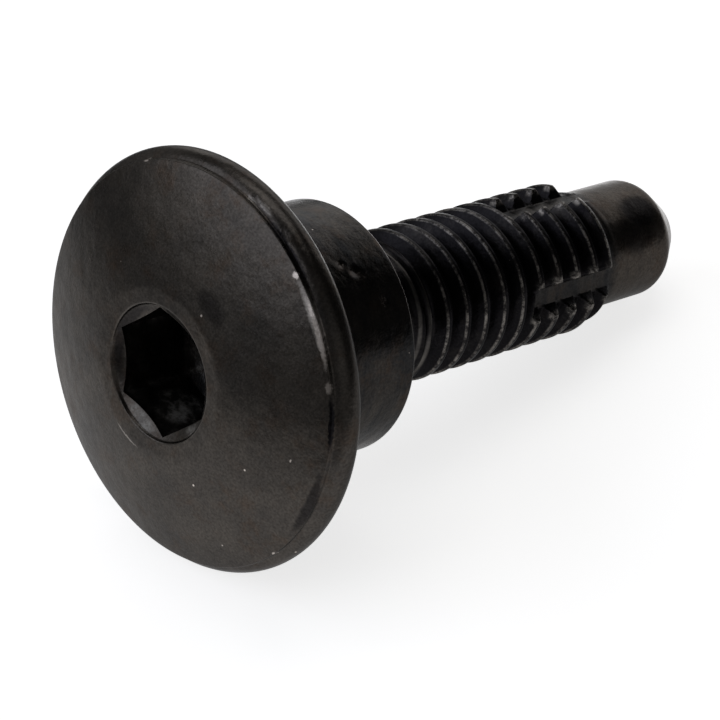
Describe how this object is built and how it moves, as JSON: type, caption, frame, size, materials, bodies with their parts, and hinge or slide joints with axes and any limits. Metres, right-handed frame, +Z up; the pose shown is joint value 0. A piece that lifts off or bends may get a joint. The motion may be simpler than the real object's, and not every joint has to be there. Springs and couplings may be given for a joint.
{
  "type": "shoulder screw",
  "caption": "Blackened steel shoulder screw with a wide domed head, a hexagon socket, a plain shoulder, a slotted thread and a smooth pilot point.",
  "frame": {"origin": "centre of the lying screw's box, on the surface that it rests on", "axes": "+Z up from that surface, +X level from the head towards the point; the screw's own axis lies in the XZ plane and dips 13.45 degrees below +X towards the point"},
  "size_m": [0.0254, 0.0152, 0.0148],
  "materials": {
    "black_steel": "satin black oxide, lightly worn on the edges"
  },
  "bodies": {
    "root": {"screw": "black_steel"}
  },
  "joints": []
}
